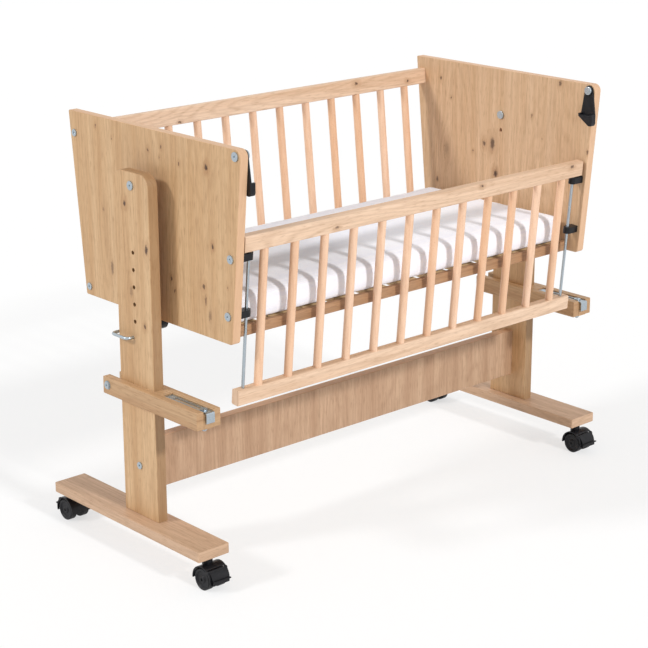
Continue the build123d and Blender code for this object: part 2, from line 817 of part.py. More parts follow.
for side, sx in SIDES:
    back_face = Vector(sx * (panel_in - face_gap), latch_y, latch_z)
    latch_plane = Plane(origin=back_face, x_dir=(0, 1, 0), z_dir=(1, 0, 0))
    with BuildPart() as latch:
        with BuildSketch(latch_plane):
            Circle(latch_head_r)
            with BuildLine():
                Polyline(
                    (-latch_head_r, 0),
                    (-latch_front_w, shelf_z),
                    (latch_back_w, shelf_z),
                    (latch_head_r, 0),
                    close=True,
                )
            make_face()
        extrude(amount=-sx * latch_plate_t)
        with BuildSketch(latch_plane) as hook:
            with BuildLine():
                Polyline(
                    (-latch_front_w, lip_z),
                    (latch_lip_w - latch_front_w, lip_z),
                    (latch_lip_w - latch_front_w, shelf_z),
                    (latch_back_w - latch_lip_w, shelf_z),
                    (latch_back_w - latch_lip_w, lip_z),
                    (latch_back_w, lip_z),
                    (latch_back_w, shelf_z - latch_back_side_h),
                    (-latch_toe_back, toe_z),
                    (-latch_toe_front, toe_z),
                    (-latch_front_w, shelf_z - latch_front_side_h),
                    close=True,
                )
            make_face()
            fillet(hook.vertices().group_by(Axis.Y)[0], latch_toe_r)
        extrude(amount=-sx * (latch_plate_t + latch_hook_t))
        seat = Vector(sx * panel_in, latch_y, latch_z)
        reach = latch_plate_t + 2 * face_gap
        rod(seat, Vector(-sx, 0, 0), bolt_d / 2 + run_fit, reach, Mode.SUBTRACT)
        rims = latch.faces().sort_by(Axis.X)[0 if sx > 0 else -1].edges()
        fillet(rims, latch_rim_r)
    save(latch, f"{side}_latch")

# Catches under the cradle's panels, and the wire lock pins parked in the posts
with BuildPart() as lock_catches:
    for side, sx in SIDES:
        middle = sx * (panel_in + panel_out) / 2
        with BuildSketch(Plane.YZ.offset(middle)):
            with Locations((0, catch_z)):
                Circle(catch_r)
            with Locations((0, panel_z + catch_r)):
                Rectangle(2 * catch_r, 2 * catch_r, mode=Mode.SUBTRACT)
        extrude(amount=catch_t / 2, both=True)
        rod(Vector(middle, 0, panel_z), Vector(0, 0, 1), bolt_d / 2, catch_peg_in)
save(lock_catches, "lock_catches")

for side, sx in SIDES:
    tip_x = sx * (panel_out + pin_tip_gap)
    base_x = sx * (post_out + pin_stand_off)
    side_leg_y = post_w / 2 + pin_side_gap + pin_d / 2
    with BuildPart() as lock_pin:
        with BuildLine() as path:
            FilletPolyline(
                (tip_x, pin_leg_y, pin_z),
                (base_x, pin_leg_y, pin_z),
                (base_x, side_leg_y, pin_z),
                (tip_x, side_leg_y, pin_z),
                radius=pin_bend_r,
            )
        with BuildSketch(Plane(origin=path.line @ 0, z_dir=path.line % 0)):
            Circle(pin_d / 2)
        sweep()
    save(lock_pin, f"{side}_lock_pin")

# Casters: a hooded body that swivels on its stem, twin wheels on an axle, and a brake lever behind
casters = (
    ("caster_fl", -1, -1),
    ("caster_fr", 1, -1),
    ("caster_bl", -1, 1),
    ("caster_br", 1, 1),
)
hood_half_w = web_t / 2 + wheel_gap + wheel_w + hood_lip
hood_in_r = hood_r - hood_t
neck_top = caster_h - collar_h - face_gap
brake_half_w = brake_w / 2
hinge_r = hood_r - hood_t / 2
hinge_u = hinge_r * math.cos(math.radians(brake_hinge_deg))
hinge_v = hinge_r * math.sin(math.radians(brake_hinge_deg))
brake_open = math.radians(brake_open_deg)


def wedge(radius, start_deg, end_deg, mode=Mode.ADD):
    """Add or cut a slice of a disc in the sketch that is open."""
    with BuildLine() as rim:
        arc = CenterArc((0, 0), radius, start_deg, end_deg - start_deg)
        Line(arc @ 1, (0, 0))
        Line((0, 0), arc @ 0)
    make_face(rim.edges(), mode=mode)


with BuildPart() as caster_stems:
    for name, sx, sy in casters:
        stem_y = stem_ys[0] if sy < 0 else stem_ys[1]
        under = Vector(sx * foot_x, stem_y, caster_h)
        rod(under - Vector(0, 0, stem_down), Vector(0, 0, 1), stem_d / 2, stem_down + stem_in)
        rod(under, Vector(0, 0, -1), collar_r, collar_h)
save(caster_stems, "caster_stems")

for name, sx, sy in casters:
    stem_y = stem_ys[0] if sy < 0 else stem_ys[1]
    hub = Vector(sx * foot_x, stem_y + sy * caster_trail, wheel_r)
    side_plane = Plane(origin=hub, x_dir=(0, sy, 0), z_dir=(sy, 0, 0))
    with BuildPart() as housing:
        with BuildSketch(side_plane):
            wedge(hood_r, hood_low_deg, hood_front_deg)
        extrude(amount=hood_half_w, both=True)
        neck = Vector(hub.X, stem_y, wheel_r)
        rod(neck, Vector(0, 0, 1), neck_r, neck_top - wheel_r)
        with BuildSketch(side_plane):
            Circle(hood_in_r)
        extrude(amount=hood_half_w, both=True, mode=Mode.SUBTRACT)
        with BuildSketch(side_plane):
            wedge(2 * hood_r, hood_low_deg * 2, brake_hinge_deg + brake_window_deg)
        extrude(amount=brake_half_w + brake_side_gap, both=True, mode=Mode.SUBTRACT)
        with BuildSketch(side_plane):
            Circle(web_boss_r)
            wedge(hinge_r, brake_hinge_deg + brake_window_deg, hood_front_deg)
            wedge(wheel_r, hood_low_deg, brake_hinge_deg + brake_window_deg)
        extrude(amount=web_t / 2, both=True)
        for hand in (-1, 1):
            cheek = side_plane.offset(hand * (brake_half_w + brake_side_gap))
            with BuildSketch(cheek):
                with Locations((hinge_u, hinge_v)):
                    Circle(brake_boss_r)
            extrude(amount=hand * (hood_half_w - brake_half_w - brake_side_gap))
        with BuildSketch(side_plane):
            with Locations((hinge_u, hinge_v)):
                Circle(brake_pin_d / 2 + run_fit)
        extrude(amount=hood_half_w, both=True, mode=Mode.SUBTRACT)
        rod(hub - Vector(web_t, 0, 0), Vector(1, 0, 0), axle_d / 2 + run_fit, 2 * web_t, Mode.SUBTRACT)
        pocket = stem_down - collar_h
        top = Vector(hub.X, stem_y, neck_top)
        rod(top, Vector(0, 0, -1), stem_d / 2 + run_fit, pocket, Mode.SUBTRACT)
    save(housing, f"{name}_housing")

    with BuildPart() as wheels:
        for hand in (-1, 1):
            inner = hub + Vector(hand * (web_t / 2 + wheel_gap), 0, 0)
            with BuildSketch(Plane(origin=inner, x_dir=(hand, 0, 0), z_dir=(0, -hand, 0))) as half:
                with BuildLine():
                    Polyline(
                        (0, axle_d / 2 + seat_fit),
                        (0, wheel_r),
                        (wheel_w, wheel_r),
                        (wheel_w, wheel_r - wheel_rim),
                        (wheel_w - wheel_dish, wheel_r - wheel_rim - wheel_dish),
                        (wheel_w - wheel_dish, wheel_boss_r + wheel_dish),
                        (wheel_w, wheel_boss_r),
                        (wheel_w, axle_d / 2 + seat_fit),
                        close=True,
                    )
                make_face()
                fillet(half.vertices().group_by(Axis.Y)[-1], wheel_edge_r)
            revolve(half.sketch, Axis(hub, (1, 0, 0)))
        axle_half = web_t / 2 + wheel_gap + wheel_w - axle_end
        rod(hub - Vector(axle_half, 0, 0), Vector(1, 0, 0), axle_d / 2, 2 * axle_half)
    save(wheels, f"{name}_wheels")

    hinge = hub + Vector(0, sy * hinge_u, hinge_v)
    open_way = Vector(0, sy * math.cos(brake_open), math.sin(brake_open))
    lever_plane = Plane(origin=hinge, x_dir=open_way, z_dir=(sy, 0, 0))
    wheel_mid = lever_plane.from_local_coords(Vector(-hinge_u, -hinge_v, 0))
    shut_plane = Plane(origin=wheel_mid, x_dir=lever_plane.x_dir, z_dir=lever_plane.z_dir)
    with BuildPart() as brake:
        with BuildSketch(shut_plane):
            wedge(hood_r, hood_low_deg, brake_hinge_deg)
            wedge(hood_in_r, hood_low_deg + brake_pad_deg, brake_hinge_deg, Mode.SUBTRACT)
            Circle(wheel_r + brake_pad_gap, mode=Mode.SUBTRACT)
            with BuildLine():
                Polyline(
                    (hood_in_r, 0),
                    (hood_r + brake_lip, 0),
                    (hood_r + brake_lip, brake_lip_t),
                    (hood_in_r, brake_lip_t),
                    close=True,
                )
            make_face()
        extrude(amount=brake_half_w, both=True)
        with BuildSketch(lever_plane):
            Circle(brake_knuckle_r)
        extrude(amount=brake_half_w, both=True)
        with BuildSketch(lever_plane):
            Circle(brake_pin_d / 2)
        extrude(amount=hood_half_w, both=True)
    save(brake, f"{name}_brake")
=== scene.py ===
# %% [markdown]
# # A bedside crib in oak foil, beech and zinc
# This lesson dresses a crib that hangs between two posts on casters. The solids come packed, in metres,
# with the floor at Z = 0, X along the crib and -Y on the side whose gate slides down.
# The boards keep their solids and get their foil from nodes. Only the mattress is made anew, as cloth.

# %% Start
import json
import math
from collections import namedtuple

import bpy
import numpy as np
from mathutils import Matrix, Vector

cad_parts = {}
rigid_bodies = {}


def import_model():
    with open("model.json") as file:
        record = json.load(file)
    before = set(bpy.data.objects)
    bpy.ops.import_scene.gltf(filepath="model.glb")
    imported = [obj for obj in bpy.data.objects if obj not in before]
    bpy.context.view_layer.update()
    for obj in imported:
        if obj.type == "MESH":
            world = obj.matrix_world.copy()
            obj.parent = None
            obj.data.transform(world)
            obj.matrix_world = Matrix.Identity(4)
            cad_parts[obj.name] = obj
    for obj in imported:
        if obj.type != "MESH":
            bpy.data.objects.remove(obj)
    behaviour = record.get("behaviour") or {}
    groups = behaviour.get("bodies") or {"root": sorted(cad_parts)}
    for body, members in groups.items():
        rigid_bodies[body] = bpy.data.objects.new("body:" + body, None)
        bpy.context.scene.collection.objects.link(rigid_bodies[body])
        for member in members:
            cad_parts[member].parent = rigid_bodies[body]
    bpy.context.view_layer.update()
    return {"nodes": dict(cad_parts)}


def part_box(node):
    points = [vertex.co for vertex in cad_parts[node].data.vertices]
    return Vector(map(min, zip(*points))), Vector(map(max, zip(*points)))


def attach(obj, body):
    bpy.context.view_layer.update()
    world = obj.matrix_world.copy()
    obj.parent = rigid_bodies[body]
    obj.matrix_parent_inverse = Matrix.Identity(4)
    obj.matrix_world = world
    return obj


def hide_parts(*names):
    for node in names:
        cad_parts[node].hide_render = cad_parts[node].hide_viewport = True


for leftover in list(bpy.data.objects):
    bpy.data.objects.remove(leftover)
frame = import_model()
nodes = frame["nodes"]
MM = 0.001

# %% [markdown]
# ## Two small tools
# A colour is given as an sRGB hex value, but light is summed in linear values, so one function
# turns the one into the other. The other tool adds a node, sets it and links it, which keeps every
# recipe below to one line a node.


# %% Colour and node tools
def linear(hex_code):
    """The linear RGBA of an sRGB hex colour."""
    parts = [int(hex_code[i : i + 2], 16) / 255 for i in (1, 3, 5)]
    return [c / 12.92 if c <= 0.04045 else ((c + 0.055) / 1.055) ** 2.4 for c in parts] + [1.0]


def add(tree, kind, sockets=None, **settings):
    """Adds a shader node. Settings are its own choices, sockets its inputs' values or sources."""
    made = tree.nodes.new("ShaderNode" + kind)
    for name, value in settings.items():
        setattr(made, name, value)
    for socket, value in (sockets or {}).items():
        if isinstance(value, bpy.types.NodeSocket):
            tree.links.new(value, made.inputs[socket])
        else:
            made.inputs[socket].default_value = value
    return made


def new_finish(name):
    """An empty material with its surface shader: (material, tree, shader)."""
    finish = bpy.data.materials.new(name)
    finish.use_nodes = True
    tree = finish.node_tree
    tree.nodes.clear()
    shader = add(tree, "BsdfPrincipled")
    add(tree, "OutputMaterial", {"Surface": shader.outputs[0]})
    return finish, tree, shader


print("white is", linear("#FFFFFF"))

# %% [markdown]
# ## Sums on nodes
# Every finish below is a sum on a few numbers at each point: a noise, a span of it that shows, a mix of
# two colours. Each such sum is one node, and a short name for each makes a recipe read like a formula.

# %% Sums on nodes
# Mix nodes keep their inputs and results apart by kind, and these are the places of the ones used here
MIX_A, MIX_B, MIX_OUT = 6, 7, 2


def mixed(tree, share, first, second):
    """A colour part of the way from one colour to another."""
    return add(tree, "Mix", {0: share, MIX_A: first, MIX_B: second}, data_type="RGBA").outputs[MIX_OUT]


def ramp(tree, value, span, low=0.0, high=1.0, kind="LINEAR"):
    """A value carried from one span to another, and held beyond its ends."""
    sockets = {0: value, 1: span[0], 2: span[1], 3: low, 4: high}
    return add(tree, "MapRange", sockets, interpolation_type=kind).outputs[0]


def maths(tree, kind, *values):
    """The result of one sum on one or two numbers."""
    return add(tree, "Math", dict(enumerate(values)), operation=kind).outputs[0]


def dot(tree, vector, direction):
    """How far a vector goes along a direction."""
    return add(tree, "VectorMath", {0: vector, 1: direction}, operation="DOT_PRODUCT").outputs["Value"]


def vectors(tree, kind, *values):
    """The result of one sum on vectors."""
    return add(tree, "VectorMath", dict(enumerate(values)), operation=kind).outputs[0]


def noise(tree, point, scale=1.0, detail=2.0, roughness=0.5):
    """Smooth noise from 0 to 1 with that many waves a unit of length."""
    sockets = {"Vector": point, "Scale": scale, "Detail": detail, "Roughness": roughness}
    return add(tree, "TexNoise", sockets)


def raised(tree, shader, height, strength, distance):
    """Lets a height, in metres at full strength, tilt the light on a surface."""
    bump = add(tree, "Bump", {"Height": height, "Strength": strength, "Distance": distance})
    tree.links.new(bump.outputs[0], shader.inputs["Normal"])


print("mix sockets", MIX_A, MIX_B, MIX_OUT)

# %% [markdown]
# ## The print on the boards
# The end panels, posts, feet and the stretcher are chipboard under a printed oak foil: a matt skin with
# long soft stripes, finer streaks, hair-fine pores and flame-shaped growth lines. Real boards could be
# cut from a block of rings, but a foil is a flat print, so the pattern is drawn in the plane of the
# board, as four layers of noise drawn out along the grain. The pores' marks come just under a
# millimetre wide, about twice as coarse as real ones, so that they still show at this distance.

# %% Layers of the print
# Waves a metre across and along the grain, the detail and roughness of the noise, the span of it that
# shows, and the largest share of the darker tone that it brings in
Layer = namedtuple("Layer", "waves detail roughness span depth")
STRIPE = Layer((34.0, 1.1, 1.0), 3.0, 0.55, (0.36, 0.64), 1.0)
STREAK = Layer((210.0, 6.0, 1.0), 3.0, 0.6, (0.45, 0.75), 0.4)
FLAME = Layer((11.0, 1.3, 1.0), 1.0, 0.3, (0.0, 1.0), 0.15)
PORE = Layer((520.0, 42.0, 1.0), 2.0, 0.5, (0.54, 0.72), 0.5)
# Flames are the contour lines of a smooth field, and this many lie over its whole range
FLAME_LINES = 24


def layer_field(tree, point, layer):
    """The noise of one layer, drawn out along the grain."""
    drawn = vectors(tree, "MULTIPLY", point, layer.waves)
    return noise(tree, drawn, detail=layer.detail, roughness=layer.roughness).outputs[0]


def printed_oak(tree, point, tones, flame):
    """The four layers over each other: the colour, and the field of the pores."""
    light, mid, dark = [linear(tone) for tone in tones]
    stripe = ramp(tree, layer_field(tree, point, STRIPE), STRIPE.span, high=STRIPE.depth)
    streak = ramp(tree, layer_field(tree, point, STREAK), STREAK.span, high=STREAK.depth)
    turns = maths(tree, "MULTIPLY", layer_field(tree, point, FLAME), 2 * math.pi * FLAME_LINES)
    lines = ramp(tree, maths(tree, "SINE", turns), FLAME.span, high=FLAME.depth * flame)
    pore_field = layer_field(tree, point, PORE)
    pore = ramp(tree, pore_field, PORE.span, high=PORE.depth)
    colour = mixed(tree, stripe, light, mid)
    for share in (streak, lines, pore):
        colour = mixed(tree, share, colour, dark)
    return colour, pore_field


print("layers", STRIPE.waves, STREAK.waves, FLAME.waves, PORE.waves)

# %% [markdown]
# ## Knots
# A knot is where a branch grew: a dark ragged core, a brown blush round it, and growth lines that swerve
# past. Each is placed one by one, since knots are what makes a board recognisable. The lines swerve because
# the point at which the pattern is read is pushed away from the knot's middle before it is used.

# %% Knots
# A knot is felt out to this many of its radii, and moves the lines by this share of their distance
KNOT_REACH = (0.4, 3.4)
KNOT_PUSH = 0.85
KNOT_CORE = (0.35, 1.1)
KNOT_BLUSH = 0.45
BLUSH_TONE, CORE_TONE = "#9C6B40", "#3E2418"
# The outline of a core is shaken by noise: waves a metre, then the shake across and along the grain
SHAKE_WAVES = 160.0
SHAKE = (6 * MM, 12 * MM, 0.0)
NOISE_MIDDLE = (0.5, 0.5, 0.5)


def knots_on(tree, flat, knots, seed):
    """Bends the flat point round the knots, and gives their cores and blushes: (point, core, blush)."""
    wobble = noise(tree, flat, SHAKE_WAVES).outputs["Color"]
    around = vectors(tree, "SUBTRACT", wobble, NOISE_MIDDLE)
    ragged = vectors(tree, "MULTIPLY_ADD", around, SHAKE, flat)
    bent, core, blush = flat, None, None
    for across, along, radius, stretch, depth in knots:
        off = vectors(tree, "SUBTRACT", ragged, (across, along, seed))
        unit = vectors(tree, "MULTIPLY", off, (1 / radius, 1 / (radius * stretch), 0.0))
        away = add(tree, "VectorMath", {0: unit}, operation="LENGTH").outputs["Value"]
        near = ramp(tree, away, KNOT_REACH, low=1.0, high=0.0, kind="SMOOTHSTEP")
        push = maths(tree, "MULTIPLY", near, -KNOT_PUSH)
        shift = add(tree, "VectorMath", {0: off, "Scale": push}, operation="SCALE").outputs[0]
        bent = vectors(tree, "ADD", bent, shift)
        spot = ramp(tree, away, KNOT_CORE, low=depth, high=0.0, kind="SMOOTHSTEP")
        glow = maths(tree, "MULTIPLY", near, depth)
        core = spot if core is None else maths(tree, "MAXIMUM", core, spot)
        blush = glow if blush is None else maths(tree, "MAXIMUM", blush, glow)
    return bent, core, blush


print("knots reach", KNOT_REACH[1], "radii")

# %% [markdown]
# ## Oak foil
# The foil is one recipe for all boards: the flat point, bent round the knots, then the print, then a
# band of another tone on the edges, which on the real panels are wrapped apart from the faces and on the
# posts is painted shade. A board has a grain direction, a direction across it and, where its ends show, a
# second pair for those.

# %% Oak foil
FOIL_ROUGHNESS = 0.52
FOIL_IOR = 1.5
# An end or an edge is told from a face by how squarely the surface looks along the board
END_LIMIT = 0.7
FACE_SPAN = (0.55, 0.85)
BAND_SHARE = 0.6
PRESS_STRENGTH, PRESS_DEPTH = 0.12, 0.15 * MM


def squareness(tree, place, direction):
    """How squarely the surface looks along a direction, whichever way."""
    return maths(tree, "ABSOLUTE", dot(tree, place.outputs["Normal"], direction))


def flat_point(tree, place, across, along, end, seed):
    """The point of the surface in the plane of the print."""
    point = place.outputs["Object"]
    u, w = dot(tree, point, across), dot(tree, point, along)
    if end:
        on_end = maths(tree, "GREATER_THAN", squareness(tree, place, along), END_LIMIT)
        u = add(tree, "Mix", {0: on_end, 2: u, 3: dot(tree, point, end[0])}).outputs[0]
        w = add(tree, "Mix", {0: on_end, 2: w, 3: dot(tree, point, end[1])}).outputs[0]
    return add(tree, "CombineXYZ", {0: u, 1: w, 2: seed}).outputs[0]


def oak_foil(name, across, along, tones, knots=(), band=None, end=None, seed=0.0, flame=1.0):
    """Oak foil whose grain runs along one direction. Knots are (across, along, radius, stretch, depth)."""
    finish, tree, shader = new_finish(name)
    place = add(tree, "TexCoord")
    flat = flat_point(tree, place, across, along, end, seed)
    bent = flat
    if knots:
        bent, core, blush = knots_on(tree, flat, knots, seed)
    colour, pore_field = printed_oak(tree, bent, tones, flame)
    if band:
        across_face = Vector(along).cross(Vector(band[1])).normalized()
        on_face = ramp(tree, squareness(tree, place, across_face), FACE_SPAN)
        edge = ramp(tree, on_face, span=(0.0, 1.0), low=BAND_SHARE, high=0.0)
        colour = mixed(tree, edge, colour, linear(band[0]))
    if knots:
        if band:
            core, blush = (maths(tree, "MULTIPLY", mark, on_face) for mark in (core, blush))
        colour = mixed(tree, maths(tree, "MULTIPLY", blush, KNOT_BLUSH), colour, linear(BLUSH_TONE))
        colour = mixed(tree, core, colour, linear(CORE_TONE))
    tree.links.new(colour, shader.inputs["Base Color"])
    shader.inputs["Roughness"].default_value = FOIL_ROUGHNESS
    shader.inputs["IOR"].default_value = FOIL_IOR
    raised(tree, shader, pore_field, PRESS_STRENGTH, PRESS_DEPTH)
    return finish


print("foil roughness", FOIL_ROUGHNESS)

# %% [markdown]
# ## Where each board's knots sit
# Each knot is given in millimetres of radius and metres of place: first across the grain, then along it,
# then the radius, how far it is drawn out along the grain, and how dark it is. Random knots would be
# quicker, but a board that is known from one side should look the same from all.

# %% Knots of the panels and posts
left_panel_knots = [
    (-0.1612, 0.7782, 4.5, 1.5, 0.95),
    (-0.1750, 0.6381, 3.2, 1.6, 0.9),
    (-0.1476, 0.5589, 3.8, 1.5, 0.75),
    (-0.1524, 0.5336, 3.0, 3.2, 0.6),
    (-0.1634, 0.5065, 4.5, 2.6, 0.45),
    (-0.0518, 0.5541, 2.6, 1.8, 0.9),
    (-0.0607, 0.5317, 2.2, 1.8, 0.7),
    (-0.0827, 0.7729, 1.8, 1.6, 0.75),
    (-0.0256, 0.7758, 1.6, 1.6, 0.6),
    (-0.0310, 0.7950, 2.0, 1.6, 0.6),
    (0.0088, 0.7848, 2.6, 1.6, 0.75),
    (0.1204, 0.7887, 1.8, 1.6, 0.55),
    (0.1708, 0.8047, 2.2, 1.6, 0.7),
    (0.1552, 0.6477, 2.0, 1.8, 0.4),
    (0.1334, 0.5364, 4.5, 3.0, 0.55),
    (-0.2148, 0.5718, 1.8, 1.6, 0.6),
]
post_knots = [
    (0.0205, 0.6900, 4.2, 1.4, 0.9),
    (-0.0418, 0.6143, 4.6, 1.8, 0.9),
    (-0.0299, 0.4669, 3.0, 1.6, 0.85),
    (0.0087, 0.5252, 5.0, 2.4, 0.35),
]
right_panel_knots = [
    (0.1816, 0.7824, 2.6, 1.8, 0.7),
    (0.1493, 0.7432, 2.2, 1.4, 0.9),
    (0.0230, 0.6591, 6.5, 2.1, 0.8),
    (0.0471, 0.6576, 4.6, 1.6, 0.75),
    (0.0118, 0.5955, 6.0, 1.4, 0.95),
    (0.1882, 0.5545, 3.6, 1.9, 0.75),
    (0.0801, 0.6357, 1.8, 1.6, 0.7),
    (-0.1635, 0.8156, 4.2, 1.4, 0.75),
    (-0.0878, 0.7365, 2.0, 1.6, 0.6),
    (-0.1182, 0.6931, 1.8, 1.6, 0.5),
    (-0.2426, 0.6829, 3.0, 1.8, 0.7),
    (0.1611, 0.6286, 8.0, 2.2, 0.25),
]
KNOT_SPREAD = 1.15


def knots_at(knots, x):
    """Knots of an upright board whose face lies at x, in metres and drawn a little larger."""
    return [(y + x, z, KNOT_SPREAD * radius * MM, stretch, depth) for y, z, radius, stretch, depth in knots]


print("knots", len(left_panel_knots) + len(post_knots) + len(right_panel_knots))

# %% [markdown]
# ## Foil on the upright boards
# Panels and posts stand with the grain upright. A panel's edges carry a pinker, paler band; a post's
# edges carry a darker band, painted shade for the shadow the panel throws on them. The right panel's
# sheet is drawn a little paler than the rest, as painted light.

# %% Foil on panels and posts
FOIL = ("#D6B389", "#C69E72", "#9A7048")
# The right panel's tones are the same foil drawn paler: painted light on its shaded inner face.
PAINTED_LIGHT_FOIL = ("#DFBD99", "#D0AA83", "#A27A54")
# The posts' edge tone is painted shade, for the panel that shades their front edges.
PALE_EDGE, POST_EDGE_PAINTED_SHADE = "#DDB392", "#7E5C3C"
LONG, DEEP, UP = (1.0, 0.0, 0.0), (0.0, 1.0, 0.0), (0.0, 0.0, 1.0)
# Across the grain of an upright board, whichever way it faces
SIDE_GRAIN = (1.0, 1.0, 0.0)
ENDS = (LONG, DEEP)
LEFT_FACE, RIGHT_FACE, POST_FACE = -0.4755, 0.4575, -0.523
# Name, tones, knots, where the face lies, edge tone, and a seed that gives each board its own print
upright_boards = {
    "left_panel": (FOIL, left_panel_knots, LEFT_FACE, PALE_EDGE, 0.0),
    "right_panel": (PAINTED_LIGHT_FOIL, right_panel_knots, RIGHT_FACE, PALE_EDGE, 3.0),
    "left_post": (FOIL, post_knots, POST_FACE, POST_EDGE_PAINTED_SHADE, 7.0),
    "right_post": (FOIL, post_knots, -POST_FACE, POST_EDGE_PAINTED_SHADE, 11.0),
}
finish_of = {}
for name, (tones, knots, face, edge, seed) in upright_boards.items():
    placed = knots_at(knots, face)
    finish_of[name] = oak_foil("oak_foil_" + name, SIDE_GRAIN, UP, tones, placed, (edge, DEEP), ENDS, seed)
print("upright boards", list(finish_of))

# %% [markdown]
# ## Foil on the lying boards
# The stretcher has upright grain, as on the real board, which is cut across the sheet. Feet and arms
# run front to back. Their sheets are greyer than the panels'. The stretcher's tones are also darker,
# painted shade for its place under the crib, and the arms' tones are somewhat darker too.

# %% Foil on stretcher, feet and arms
# The stretcher's tones: the same foil drawn darker as painted shade.
PAINTED_SHADE_FOIL = ("#C6A588", "#B39073", "#8A6749")
FOOT = ("#D4B294", "#C09E80", "#957255")
ARM = ("#C8A67F", "#B8916A", "#8E6641")
# Across the grain of a board that runs front to back
BESIDE_GRAIN = (1.0, 0.0, 1.0)
foil_stretcher = oak_foil(
    "oak_foil_stretcher", SIDE_GRAIN, UP, PAINTED_SHADE_FOIL, band=(PALE_EDGE, LONG), end=(DEEP, LONG), seed=15.0
)
foil_foot = oak_foil("oak_foil_foot", BESIDE_GRAIN, DEEP, FOOT, end=(UP, LONG), seed=19.0)
foil_arm = oak_foil("oak_foil_arm", BESIDE_GRAIN, DEEP, ARM, end=(UP, LONG), seed=23.0)
print("lying boards", foil_stretcher.name, foil_foot.name, foil_arm.name)

# %% [markdown]
# ## Foil on the rails
# The long rails are paler and show stronger flames, with a few knots. The two rails under the mattress
# are drawn in darker brown tones. One recipe serves both, since only the tones and knots differ.

# %% Foil on rails
RAIL = ("#E9CBB0", "#DCB99A", "#B08A68")
BASE = ("#B78F6C", "#A67E5B", "#7D5A3C")
RAIL_FLAME = 1.5
# Across the grain of a rail: its height, and a little of its depth so that its top differs from its face
RAIL_GRAIN = (0.0, 0.8, 1.0)
rail_knots = [
    (0.4675, 0.4173, 4.0 * MM, 1.6, 0.8),
    (0.4698, 0.1502, 3.2 * MM, 1.5, 0.9),
    (0.4530, -0.2335, 3.0 * MM, 2.0, 0.7),
    (0.9738, 0.2488, 4.2 * MM, 1.5, 0.85),
    (0.9604, 0.4005, 3.4 * MM, 1.4, 0.9),
    (0.9533, -0.2322, 2.8 * MM, 1.6, 0.85),
]
foil_rail = oak_foil(
    "oak_foil_rail", RAIL_GRAIN, LONG, RAIL, rail_knots, end=(DEEP, UP), seed=27.0, flame=RAIL_FLAME
)
foil_base = oak_foil("oak_foil_base", RAIL_GRAIN, LONG, BASE, end=(DEEP, UP), seed=31.0)
print("foil finishes", len([m for m in bpy.data.materials if m.name.startswith("oak_foil")]))

# %% [markdown]
# ## Turned beech
# The dowels are steamed beech, turned and clear lacquered: a warm peach wood with next to no figure,
# only short brown flecks a millimetre or two long. Each rod comes from another plank. All rods of a side
# are one solid, so a rod's tone comes from its number in the row and not from its object.

# %% Beech
DOWEL_PITCH = 0.0725
BEECH_PALE, BEECH_WARM, BEECH_GRAIN, BEECH_FLECK = "#EFCBAE", "#E5B893", "#D3A27E", "#A9714A"
# Waves a metre along X, Y and the rod, then the span of the noise that shows and its largest share
GRAIN_WAVES, GRAIN_SPAN, GRAIN_SHARE = (260.0, 260.0, 9.0), (0.4, 0.7), 0.4
FLECK_WAVES, FLECK_SPAN, FLECK_SHARE = (1500.0, 1500.0, 320.0), (0.62, 0.74), 0.45
beech, tree, shader = new_finish("turned_beech")
point = add(tree, "TexCoord").outputs["Object"]
along_row = add(tree, "SeparateXYZ", {0: point}).outputs[0]
number = maths(tree, "FLOOR", maths(tree, "DIVIDE", along_row, DOWEL_PITCH))
chance = add(tree, "TexWhiteNoise", {"W": number}, noise_dimensions="1D").outputs[0]
body = mixed(tree, chance, linear(BEECH_PALE), linear(BEECH_WARM))
grain = noise(tree, vectors(tree, "MULTIPLY", point, GRAIN_WAVES), detail=3.0).outputs[0]
body = mixed(tree, ramp(tree, grain, GRAIN_SPAN, high=GRAIN_SHARE), body, linear(BEECH_GRAIN))
fleck = noise(tree, vectors(tree, "MULTIPLY", point, FLECK_WAVES), detail=1.0).outputs[0]
body = mixed(tree, ramp(tree, fleck, FLECK_SPAN, high=FLECK_SHARE), body, linear(BEECH_FLECK))
tree.links.new(body, shader.inputs["Base Color"])
shader.inputs["Roughness"].default_value = 0.42
shader.inputs["IOR"].default_value = 1.5
raised(tree, shader, fleck, strength=0.08, distance=0.1 * MM)
print("beech tones by row number, pitch", DOWEL_PITCH)

# %% [markdown]
# ## Birch plywood
# The slats under the mattress are raw plywood: pale faces with a faint figure, and edges where
# dark glue lines part the plies. The lines follow the height alone, so they show on edges only.

# %% Plywood
PLY, GLUE = 1.6 * MM, 0.25 * MM
FIGURE_WAVES = (160.0, 7.0, 160.0)
# Below this share of looking up or down, a surface is an edge
SIDE_LIMIT = 0.5
PLY_PALE, PLY_BROWN, GLUE_TONE = "#E6CFA8", "#CDAE80", "#7A5A3A"
plywood, tree, shader = new_finish("raw_birch_plywood")
place = add(tree, "TexCoord")
drawn = vectors(tree, "MULTIPLY", place.outputs["Object"], FIGURE_WAVES)
body = mixed(tree, noise(tree, drawn, detail=4.0).outputs[0], linear(PLY_PALE), linear(PLY_BROWN))
height = add(tree, "SeparateXYZ", {0: place.outputs["Object"]}).outputs[2]
glue = maths(tree, "LESS_THAN", maths(tree, "MODULO", height, PLY), GLUE)
lift = add(tree, "SeparateXYZ", {0: place.outputs["Normal"]}).outputs[2]
side = maths(tree, "LESS_THAN", maths(tree, "ABSOLUTE", lift), SIDE_LIMIT)
body = mixed(tree, maths(tree, "MULTIPLY", glue, side), body, linear(GLUE_TONE))
tree.links.new(body, shader.inputs["Base Color"])
shader.inputs["Roughness"].default_value = 0.65
print("plies of", PLY)

# %% [markdown]
# ## Bright zinc plate
# Bolts, rods, pins and hooks are steel under clear-passivated zinc: a cool, slightly blue metal with
# a soft bloom from the bath. Plain metal with a blotchy roughness gives that bloom.

